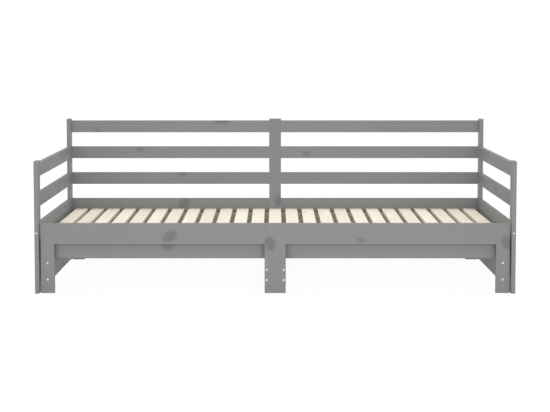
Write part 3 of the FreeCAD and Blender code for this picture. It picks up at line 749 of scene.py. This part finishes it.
def sawn_pine(name):
    """Bare pine of one rail, with saw marks across the grain."""
    board = board_of(name)
    material, tree, surface = new_material(f"sawn_{name}")
    place = place_on_board(tree, board)
    slide = [chance.uniform(-SLIDE_REACH, SLIDE_REACH) for _ in range(3)]
    pith = (0, chance.uniform(*SAWN_PITH_DEPTH), chance.uniform(*SAWN_PITH_SIDE))
    growth = group_node(tree, pine_growth, {"Place": place, "Slide": slide, "Pith": pith})
    strokes = maths(tree, "DIVIDE", split(tree, place)["X"], SAW_PITCH)
    strokes = maths(tree, "MULTIPLY_ADD", growth["Cloud"], SAW_WANDER, strokes)
    traits = {
        **growth,
        **scattered_knots(tree, place, slide, SAWN_KNOTS),
        "Saw": maths(tree, "PINGPONG", strokes, SAW_DEPTH),
    }
    colour = blend_colours(tree, weighted(tree, traits, SAWN_TONE), SAWN_PINE, SAWN_DARK)
    # Painted shade on the upper edge of the rail, where the lamps light it through the slat gaps.
    painted_top_shade = maths(tree, "MULTIPLY", near_top(tree, board, place, TOP_SHADE_DEPTH), TOP_SHADE_STRENGTH)
    colour = blend_colours(tree, painted_top_shade, colour, PAINTED_TOP_SHADE_PINE)
    dress(tree, surface, colour, traits, ROUGH_SAWN)
    surface["Specular IOR Level"].default_value = PAINT_GLOSS
    return material


for name in SAWN:
    nodes[name].data.materials[0] = sawn_pine(name)
print("sawn rails:", len(SAWN))

# %% [markdown]
# ## The slats in the construction
# Twenty-five planed pine slats cross the bed, every second one on the fixed half and the others on the
# half that pulls out. In the construction each half is one group of separate solids. Their sizes could be
# typed in again, but measuring keeps the finer slats where the solids are. Corners that edges join belong
# to one solid, so a BMesh copy is welded and walked from corner to corner.

# %% Separate solids of a group
WELD = 1e-6
PLACES = 4


def middle(corners):
    """Middle of the box round some corners."""
    return (corners.min(0) + corners.max(0)) / 2


def solids_in(name):
    """Corners of each separate solid in a group of the frame, from left to right."""
    shell = bmesh.new()
    shell.from_mesh(nodes[name].data)
    bmesh.ops.remove_doubles(shell, verts=shell.verts[:], dist=WELD)
    waiting = set(shell.verts)
    found = []
    while waiting:
        reached = [waiting.pop()]
        solid = []
        while reached:
            corner = reached.pop()
            solid.append(tuple(corner.co))
            beside = {edge.other_vert(corner) for edge in corner.link_edges} & waiting
            waiting -= beside
            reached.extend(beside)
        found.append(np.array(solid))
    shell.free()
    return sorted(found, key=lambda solid: tuple(middle(solid).round(PLACES)))


print("fixed slats:", len(solids_in("fixed_slats")), "slats pulled out:", len(solids_in("pullout_slats")))

# %% [markdown]
# ## A row of slats
# A slat is a planed strip with rounded edges and four countersunk screw holes. It could be a box with a
# Bevel modifier, copied by hand. But all slats of a half are alike, so one tree makes a slat and sets it
# on a row of points, and its sizes stay inputs that can be changed. Fillet Curve rounds the corners of a
# rectangle, Curve to Mesh draws it along the slat, and Mesh Boolean takes out the holes. Instance on
# Points repeats the slat. Two named attributes are left for the wood to read later: a tone for each slat,
# and the place of every point from the middle of its slat.

# %% Helpers for shapes
SMOOTH_ANGLE = math.radians(32)


def geometry(tree, kind, sockets=None, **settings):
    """The first output of a node that makes or changes geometry."""
    return add_node(tree, f"GeometryNode{kind}", sockets, **settings).outputs[0]


def half_of(tree, value):
    """Half of a number."""
    return maths(tree, "MULTIPLY", value, 0.5)


def moved(tree, shape, **way):
    """A shape moved along X, Y or Z."""
    return geometry(tree, "Transform", {0: shape, "Translation": vector(tree, **way)})


def cut_away(tree, shape, cutter):
    """A shape with another one taken out of it."""
    meshes = {"Mesh 1": shape, "Mesh 2": cutter}
    return geometry(tree, "MeshBoolean", meshes, operation="DIFFERENCE", solver="EXACT")


def smooth_by_angle(tree, shape):
    """Smooth faces that keep their sharp edges."""
    angle = geometry(tree, "InputMeshEdgeAngle")
    sharp = maths(tree, "GREATER_THAN", angle, SMOOTH_ANGLE)
    shape = geometry(tree, "SetShadeSmooth", {0: shape, "Shade Smooth": True}, domain="FACE")
    return geometry(tree, "SetShadeSmooth", {0: shape, 1: sharp, "Shade Smooth": False}, domain="EDGE")


def random_number(tree, highest, seed):
    """A number for each point, from none to the highest. Plain numbers are at sockets 2, 3 and output 1."""
    return add_node(tree, "FunctionNodeRandomValue", {2: 0.0, 3: highest, "Seed": seed}).outputs[1]


def hand_over(tree, shape, given, result):
    """Ends a tree with real geometry that has its material."""
    shape = geometry(tree, "RealizeInstances", {0: shape})
    shape = geometry(tree, "SetMaterial", {0: shape, "Material": given["Material"]})
    tree.links.new(shape, result["Geometry"])


print("edges stay sharp above", round(math.degrees(SMOOTH_ANGLE)), "degrees")

# %% A planed strip and its drill
ROUNDING_STEPS = 4
HOLE_SIDES = 20
DRILL_REACH = 2


def drill(tree, given):
    """Cone and shaft of a countersunk drill, the cone's wide end level with the top of a slat."""
    head, shank = half_of(tree, given["Head"]), half_of(tree, given["Shank"])
    sink = maths(tree, "SUBTRACT", head, shank)
    sizes = {"Vertices": HOLE_SIDES, "Radius Top": head, "Radius Bottom": shank, "Depth": sink}
    foot = maths(tree, "SUBTRACT", half_of(tree, given["Thickness"]), sink)
    cone = moved(tree, geometry(tree, "MeshCone", sizes), z=foot)
    depth = maths(tree, "MULTIPLY", given["Thickness"], DRILL_REACH)
    shaft = geometry(tree, "MeshCylinder", {"Vertices": HOLE_SIDES, "Radius": shank, "Depth": depth})
    return cone, shaft


def planed_strip(tree, given):
    """A rectangle with rounded corners, drawn along a slat."""
    sizes = {"Width": given["Width"], "Height": given["Thickness"]}
    outline = geometry(tree, "CurvePrimitiveQuadrilateral", sizes)
    corner = {0: outline, "Count": ROUNDING_STEPS, "Radius": given["Rounding"]}
    outline = geometry(tree, "FilletCurve", corner, mode="POLY")
    reach = half_of(tree, given["Length"])
    start, end = (vector(tree, y=maths(tree, "MULTIPLY", reach, side)) for side in (1, -1))
    run = geometry(tree, "CurvePrimitiveLine", {"Start": start, "End": end})
    run = geometry(tree, "SetCurveNormal", {0: run}, mode="Z_UP")
    return geometry(tree, "CurveToMesh", {"Curve": run, "Profile Curve": outline, "Fill Caps": True})


print("corners rounded in", ROUNDING_STEPS, "steps, holes with", HOLE_SIDES, "sides")

# %% Tree: a row of slats
HOLE_ROWS = 2


def make_slat_tree():
    """Slats on a row of points, each with four screw holes and a tone of its own."""
    inputs = {
        "Geometry": "Geometry",
        "Length": 0.9,
        "Width": 0.06,
        "Thickness": 0.015,
        "Rounding": 0.002,
        "Screw Spacing": 0.03,
        "Screw Reach": 0.9,
        "Screw Shift": 0.0,
        "Head": 0.008,
        "Shank": 0.004,
        "Seed": 0,
        "Material": "Material",
    }
    tree, given, result = new_group("slat_row", "GeometryNodeTree", inputs, {"Geometry": "Geometry"})
    slat = planed_strip(tree, given)
    sizes = {"Size X": given["Screw Spacing"], "Size Y": given["Screw Reach"]}
    sizes |= {"Vertices X": HOLE_ROWS, "Vertices Y": HOLE_ROWS}
    holes = moved(tree, geometry(tree, "MeshGrid", sizes), y=given["Screw Shift"])
    for shape in drill(tree, given):
        drills = geometry(tree, "InstanceOnPoints", {"Points": holes, "Instance": shape})
        slat = cut_away(tree, slat, geometry(tree, "RealizeInstances", {0: drills}))
    slat = smooth_by_angle(tree, slat)
    place = {0: slat, "Name": "slat_place", "Value": geometry(tree, "InputPosition")}
    slat = geometry(tree, "StoreNamedAttribute", place, data_type="FLOAT_VECTOR")
    row = geometry(tree, "InstanceOnPoints", {"Points": given["Geometry"], "Instance": slat})
    tone = {0: row, "Name": "slat_tone", "Value": random_number(tree, 1.0, given["Seed"])}
    row = geometry(tree, "StoreNamedAttribute", tone, domain="INSTANCE")
    hand_over(tree, row, given, result)
    return tree


slat_tree = make_slat_tree()
print("tree:", slat_tree.name, "with", len(slat_tree.nodes), "nodes")

# %% [markdown]
# ## From a tree to a piece
# A tree works as a modifier on an object. It could stay there, but the finished bed is handed on as plain
# meshes. So a row's points become an object, the tree's inputs are set, its result is taken as a mesh and
# the modifier goes. The piece then rides on the body of the node that it stands for.

# %% Pieces made by a tree
def make_with(tree, name, places, values, ways=None):
    """A plain mesh object that a tree makes on some points."""
    points = bpy.data.meshes.new(name)
    points.from_pydata([tuple(place) for place in places], [], [])
    if ways is not None:
        kept = points.attributes.new("way", "FLOAT_VECTOR", "POINT")
        kept.data.foreach_set("vector", np.array(ways, np.float32).ravel())
    piece = bpy.data.objects.new(name, points)
    scene.collection.objects.link(piece)
    modifier = piece.modifiers.new(tree.name, "NODES")
    modifier.node_group = tree
    for socket in tree.interface.items_tree:
        if socket.in_out == "INPUT" and socket.name in values:
            modifier[socket.identifier] = values[socket.name]
    made = piece.evaluated_get(bpy.context.evaluated_depsgraph_get())
    mesh = bpy.data.meshes.new_from_object(made)
    piece.modifiers.clear()
    piece.data = mesh
    return piece


def stand_in(piece, slot, name):
    """Shows a piece instead of a node of the frame, on the same body."""
    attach(piece, body_of_node[name])
    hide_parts(name)
    low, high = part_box(name)
    faces = len(piece.data.polygons)
    print(piece.name, "has", faces, "faces, size", rounded(piece.dimensions), "for", rounded(high - low))


print("pieces are made by", make_with.__name__, "and take their places by", stand_in.__name__)

# %% [markdown]
# ## The screws in the construction
# In the construction a screw is a plain turned solid with a wider head. Its place and size could be typed
# in again, but the solid tells them: the longest side of its box is its axis, and the corners that lie
# furthest from the axis belong to the head.

# %% Screws as the frame has them
Screw = namedtuple("Screw", "top way head length")
RIM_SHARE = 0.95


def measure_screw(corners):
    """Top of the head, the way it faces, its diameter and the whole length of a screw."""
    reach = corners.max(0) - corners.min(0)
    axis = int(reach.argmax())
    centre = middle(corners)
    radius = np.linalg.norm(np.delete(corners - centre, axis, axis=1), axis=1)
    at_head = corners[radius > RIM_SHARE * radius.max(), axis].mean()
    way = np.zeros(3)
    way[axis] = math.copysign(1, at_head - centre[axis])
    return Screw(centre + way * reach[axis] / 2, way, 2 * radius.max(), reach[axis])


def screws_in(name):
    """All screws of a group, measured."""
    return [measure_screw(corners) for corners in solids_in(name)]


print("screws in the fixed slats:", len(screws_in("fixed_slat_screws")))

# %% [markdown]
# ## Wood of the slats
# The slats are planed pine without paint, some pale and some more pink, with fine rings and a few small
# knots. Each could have a material of its own, as the boards have, but the slats of a row are one mesh. So
# in one material, Attribute nodes read the tone and the place that the tree has left on each slat. The
# tone also moves the slat to another part of the trunk, and no two slats show the same grain.

# %% Bare pine
PALE_PINE = (0.94, 0.9, 0.775, 1)
PINK_PINE = (0.843, 0.78, 0.648, 1)
LATE_PINE = (0.66, 0.53, 0.38, 1)
KNOT_BROWN = (0.34, 0.2, 0.11, 1)
SLAT_LATE_START = -0.14
SLAT_LATE = {"Latewood": 0.34, "Fibre": 0.14, "Cloud": 0.18}
SLAT_BRANCH = {"Knot": 0.5, "Rings": 0.4}
PLANED = Finish(
    rough_start=0.6,
    rough={"Latewood": -0.1, "Fibre": 0.15, "Knot": -0.15},
    relief={"Latewood": 0.6, "Fibre": 0.5, "Rings": 0.5},
    strength=0.4,
    depth=0.0002,
)
SLAT_KNOTS = Scatter((0.34, 0.05, 1), 0.1)
SLAT_SLIDE = (41, 17, 29)
SLAT_PITH_DEPTH = 0.03
SLAT_PITH_SIDE = (-0.05, 0.05)
SLAT_RING_WIDTH = 0.0045
SLAT_TAPER = 0.014


def bare_pine():
    """Planed pine of the slats, each with its own place in the trunk."""
    material, tree, surface = new_material("bare_pine_slats")
    own = split(tree, add_node(tree, "ShaderNodeAttribute", attribute_name="slat_place").outputs["Vector"])
    tone = add_node(tree, "ShaderNodeAttribute", attribute_name="slat_tone").outputs["Fac"]
    place = vector(tree, own["Y"], own["Z"], own["X"])
    slide = vectors(tree, "MULTIPLY", vector(tree, tone, tone, tone), SLAT_SLIDE)
    sockets = {
        "Place": place,
        "Slide": slide,
        "Pith": vector(tree, y=SLAT_PITH_DEPTH, z=fade(tree, tone, 0, 1, *SLAT_PITH_SIDE)),
        "Ring Width": SLAT_RING_WIDTH,
        "Taper": SLAT_TAPER,
    }
    traits = {
        **group_node(tree, pine_growth, sockets),
        **scattered_knots(tree, place, slide, SLAT_KNOTS),
    }
    ground = blend_colours(tree, tone, PALE_PINE, PINK_PINE)
    wood = blend_colours(tree, weighted(tree, traits, SLAT_LATE, SLAT_LATE_START), ground, LATE_PINE)
    wood = blend_colours(tree, weighted(tree, traits, SLAT_BRANCH), wood, KNOT_BROWN)
    dress(tree, surface, wood, traits, PLANED)
    return material


slat_wood = bare_pine()
print("material:", slat_wood.name)

# %% [markdown]
# ## The two rows
# The fixed slats and the slats that pull out are two pieces, because they move apart. They could be made
# one by one, but they differ only in sizes, which are measured from the first slat of a row and its four
# screws. Each row's seed was chosen for its tones, so that the slats beside the side frames are darker, a
# painted shade where the side frames shade them, as in the picture.

# %% The two rows of slats
SLAT_ROUNDING = 0.002
SCREW_SHANK = 0.004
# The seeds give random slat tones, and they were chosen so that the darker tones fall beside the side
# frames as painted shade.
SLAT_ROWS = {
    "planed_fixed_slats": ("fixed_slats", "fixed_slat_screws", 2764),
    "planed_pullout_slats": ("pullout_slats", "pullout_slat_screws", 2840),
}

for piece_name, (row_name, screw_name, seed) in SLAT_ROWS.items():
    slats = solids_in(row_name)
    width, length, thickness = slats[0].max(0) - slats[0].min(0)
    centre = middle(slats[0])
    own = [screw for screw in screws_in(screw_name) if abs(screw.top[0] - centre[0]) < width / 2]
    tops = np.array([screw.top for screw in own])
    spacing, reach, _ = tops.max(0) - tops.min(0)
    values = {
        "Length": float(length),
        "Width": float(width),
        "Thickness": float(thickness),
        "Rounding": SLAT_ROUNDING,
        "Screw Spacing": float(spacing),
        "Screw Reach": float(reach),
        "Screw Shift": float(middle(tops)[1] - centre[1]),
        "Head": float(own[0].head),
        "Shank": SCREW_SHANK,
        "Seed": seed,
        "Material": slat_wood,
    }
    row = make_with(slat_tree, piece_name, [middle(slat) for slat in slats], values)
    stand_in(row, "bare_pine", row_name)

# %% [markdown]
# ## Screws and bolts
# Countersunk wood screws hold the slats, long screws with a hexagon socket hold the legs, and round-headed
# bolts pull the side frames together. Each kind could be modelled by hand, but all are turned shapes with
# a recess for the driver, so one tree makes them. Four Cone nodes give the rim, the head, the shank and
# the tip, Mesh Boolean joins them, and a punch with the outline of a Star curve is taken out of the head.
# A star with three points and equal radii is a hexagon, and one with four points is a cross. Align
# Rotation to Vector turns each head to face as it does in the construction. A screw stops at its own angle
# when it is tight, so each gets its own spin.

# %% A turned screw and its recess
SCREW_SIDES = 24


def turned(tree, foot, top, height, base):
    """A turned length between two radii, with its foot at a height."""
    sizes = {"Vertices": SCREW_SIDES, "Radius Bottom": foot, "Radius Top": top, "Depth": height}
    return moved(tree, geometry(tree, "MeshCone", sizes), z=base)


def driver_punch(tree, given):
    """The star or hexagon that the driver's recess leaves in a head."""
    sizes = {
        "Points": given["Drive Points"],
        "Outer Radius": given["Drive Outer"],
        "Inner Radius": given["Drive Inner"],
    }
    star = geometry(tree, "CurveStar", sizes)
    start, end = (vector(tree, z=maths(tree, "MULTIPLY", given["Drive Depth"], side)) for side in (-1, 1))
    line = geometry(tree, "CurvePrimitiveLine", {"Start": start, "End": end})
    return geometry(tree, "CurveToMesh", {"Curve": line, "Profile Curve": star, "Fill Caps": True})


def turned_screw(tree, given):
    """Rim, head, shank and tip of a screw in one, with the top of its head at no height."""
    head, foot, shank, point = (half_of(tree, given[name]) for name in ("Head", "Foot", "Shank", "Point"))
    rim, height, length, tip = (given[name] for name in ("Rim", "Head Height", "Length", "Tip"))
    rim_foot, head_foot, tip_foot = (maths(tree, "MULTIPLY", value, -1) for value in (rim, height, length))
    shank_foot = maths(tree, "ADD", tip_foot, tip)
    lengths = [
        turned(tree, head, maths(tree, "SUBTRACT", head, rim), rim, rim_foot),
        turned(tree, foot, head, maths(tree, "SUBTRACT", height, rim), head_foot),
        turned(tree, shank, shank, maths(tree, "SUBTRACT", head_foot, shank_foot), shank_foot),
        turned(tree, point, shank, tip, tip_foot),
    ]
    union = add_node(tree, "GeometryNodeMeshBoolean", operation="UNION", solver="EXACT")
    for shape in lengths:
        tree.links.new(shape, union.inputs["Mesh 2"])
    return union.outputs[0]


print("screws are turned with", SCREW_SIDES, "sides")

# %% Tree: a set of screws
FULL_TURN = 2 * math.pi


def way_and_spin(tree, given):
    """A rotation that faces the way of a point and is then spun by chance."""
    way = geometry(tree, "InputNamedAttribute", {"Name": "way"}, data_type="FLOAT_VECTOR")
    facing = add_node(tree, "FunctionNodeAlignRotationToVector", {"Vector": way}).outputs[0]
    spin = {"Axis": UP, "Angle": random_number(tree, FULL_TURN, given["Seed"])}
    spin = add_node(tree, "FunctionNodeAxisAngleToRotation", spin).outputs[0]
    both = {0: facing, 1: spin}
    return add_node(tree, "FunctionNodeRotateRotation", both, rotation_space="LOCAL").outputs[0]


def make_screw_tree():
    """Screws on a set of points, each facing the way of its point."""
    inputs = {
        "Geometry": "Geometry",
        "Head": 0.008,
        "Foot": 0.004,
        "Head Height": 0.002,
        "Rim": 0.0003,
        "Shank": 0.004,
        "Length": 0.03,
        "Tip": 0.004,
        "Point": 0.0002,
        "Drive Points": 4,
        "Drive Outer": 0.0022,
        "Drive Inner": 0.0007,
        "Drive Depth": 0.0012,
        "Seed": 0,
        "Material": "Material",
    }
    tree, given, result = new_group("screw_set", "GeometryNodeTree", inputs, {"Geometry": "Geometry"})
    screw = cut_away(tree, turned_screw(tree, given), driver_punch(tree, given))
    sockets = {
        "Points": given["Geometry"],
        "Instance": smooth_by_angle(tree, screw),
        "Rotation": way_and_spin(tree, given),
    }
    hand_over(tree, geometry(tree, "InstanceOnPoints", sockets), given, result)
    return tree


screw_tree = make_screw_tree()
print("tree:", screw_tree.name, "with", len(screw_tree.nodes), "nodes")

# %% [markdown]
# ## Zinc plate
# The screws, bolts and angle brackets are bright zinc-plated steel. A plain metal would do from afar, but
# zinc grows in small crystals, so the plate is a little patchy in colour and gloss, and fine marks from
# handling cross it. A Voronoi Texture gives the crystals, and a stretched Noise Texture the marks.

# %% Zinc-plated steel
ZINC = (0.8, 0.8, 0.81, 1)
ZINC_DULL = (0.6, 0.61, 0.63, 1)
CRYSTALS = 900
ZINC_CLOUD = Noise((260, 260, 260), 3)
ZINC_SCRATCH = Noise((4000, 300, 300), 2)
ZINC_TONE = {"Crystal": 0.3, "Cloud": 0.5}
PLATED = Finish(
    rough_start=0.16,
    rough={"Crystal": 0.08, "Cloud": 0.12, "Scratch": 0.08},
    relief={"Scratch": 0.6, "Crystal": 0.3},
    strength=0.15,
    depth=0.0001,
)


def zinc_plate():
    """Bright zinc plate with crystals and fine scratches."""
    material, tree, surface = new_material("zinc_plate")
    place = add_node(tree, "ShaderNodeTexCoord").outputs["Object"]
    crystals = add_node(tree, "ShaderNodeTexVoronoi", {"Vector": place, "Scale": CRYSTALS}).outputs["Color"]
    traits = {
        "Crystal": add_node(tree, "ShaderNodeSeparateColor", {"Color": crystals}).outputs["Red"],
        "Cloud": noise(tree, place, ZINC_CLOUD)["Fac"],
        "Scratch": noise(tree, place, ZINC_SCRATCH)["Fac"],
    }
    colour = blend_colours(tree, weighted(tree, traits, ZINC_TONE), ZINC, ZINC_DULL)
    dress(tree, surface, colour, traits, PLATED)
    surface["Metallic"].default_value = 1
    return material


zinc = zinc_plate()
STEEL = [name for name, node in nodes.items() if node.data.materials[0].name == "zinc_plated_steel"]
for name in sorted(STEEL):
    nodes[name].data.materials[0] = zinc
print("steel groups:", len(STEEL))

# %% [markdown]
# ## The sets of fasteners
# Eleven sets of screws and bolts hold the bed together. Each could be made on its own, but they are of
# only three kinds, so a table says which kind a set has. Head, length, place and way are measured in the
# construction, and the small forms of each kind are given here.

# %% Fasteners
def hexagon_socket(radius, depth):
    """The drive of a hexagon key."""
    return {"Drive Points": 3, "Drive Outer": radius, "Drive Inner": radius, "Drive Depth": depth}


WOOD_SCREW = {"Foot": 0.004, "Head Height": 0.002, "Shank": SCREW_SHANK, "Tip": 0.004}
LONG_SCREW = {
    "Foot": 0.007,
    "Head Height": 0.0015,
    "Rim": 0.0004,
    "Shank": 0.007,
    "Tip": 0.007,
    "Point": 0.002,
    **hexagon_socket(0.0023, 0.003),
}
BOLT = {
    "Foot": 0.01,
    "Head Height": 0.006,
    "Rim": 0.0006,
    "Shank": 0.006,
    "Tip": 0.001,
    "Point": 0.004,
    **hexagon_socket(0.0029, 0.0035),
}
FASTENERS = {
    "fixed_slat_screws": WOOD_SCREW,
    "pullout_slat_screws": WOOD_SCREW,
    "back_ledger_screws": WOOD_SCREW,
    "front_ledger_screws": WOOD_SCREW,
    "rear_rail_screws": WOOD_SCREW,
    "support_leg_screws": WOOD_SCREW,
    "bracket_screws": WOOD_SCREW,
    "front_leg_screws": LONG_SCREW,
    "rear_leg_screws": LONG_SCREW,
    "back_rail_screws": LONG_SCREW,
    "bed_bolts": BOLT,
}

for seed, (name, kind) in enumerate(FASTENERS.items()):
    screws = screws_in(name)
    sizes = {"Head": float(screws[0].head), "Length": float(screws[0].length)}
    values = {**kind, **sizes, "Seed": seed, "Material": zinc}
    tops = [screw.top for screw in screws]
    ways = [screw.way for screw in screws]
    piece = make_with(screw_tree, f"driven_{name}", tops, values, ways)
    stand_in(piece, "zinc_plated_steel", name)

# %% [markdown]
# ## Beech dowels
# The butt joints are pinned with beech dowels, which lie hidden in the boards. Beech is a dense, pinkish
# brown wood with short dark flecks along the grain. The pine group could be used with narrow rings, but
# beech hardly shows its rings, so a Voronoi Texture drawn out along the grain makes the flecks.

# %% Beech
BEECH = (0.66, 0.5, 0.35, 1)
BEECH_FLECK = (0.42, 0.27, 0.16, 1)
BEECH_TONE = {"Fleck": 0.6, "Fibre": 0.35}
TURNED = Finish(
    rough_start=0.42,
    rough={"Fibre": 0.3, "Fleck": 0.1},
    relief={"Fibre": 1},
    strength=0.3,
    depth=0.0002,
)
BEECH_FIBRE = Noise((0.6, 0.6, 0.6), 3)
FLECK_STRETCH = {"X": (90, 1600, 1600), "Y": (1600, 90, 1600)}
FLECK_RIM = (0.28, 0.12)
DOWELS = {"side_rail_dowels": "Y", "back_rail_dowels": "X", "front_board_dowels": "X"}


def beech(axis):
    """Turned beech with its grain along one axis."""
    material, tree, surface = new_material(f"beech_along_{axis.lower()}")
    place = add_node(tree, "ShaderNodeTexCoord").outputs["Object"]
    stretched = vectors(tree, "MULTIPLY", place, FLECK_STRETCH[axis])
    cells = add_node(tree, "ShaderNodeTexVoronoi", {"Vector": stretched, "Scale": 1}).outputs["Distance"]
    traits = {
        "Fleck": fade(tree, cells, *FLECK_RIM),
        "Fibre": noise(tree, stretched, BEECH_FIBRE)["Fac"],
    }
    colour = blend_colours(tree, weighted(tree, traits, BEECH_TONE), BEECH, BEECH_FLECK)
    dress(tree, surface, colour, traits, TURNED)
    return material


beeches = {axis: beech(axis) for axis in FLECK_STRETCH}
for name, axis in DOWELS.items():
    nodes[name].data.materials[0] = beeches[axis]
print("dowel groups:", len(DOWELS))
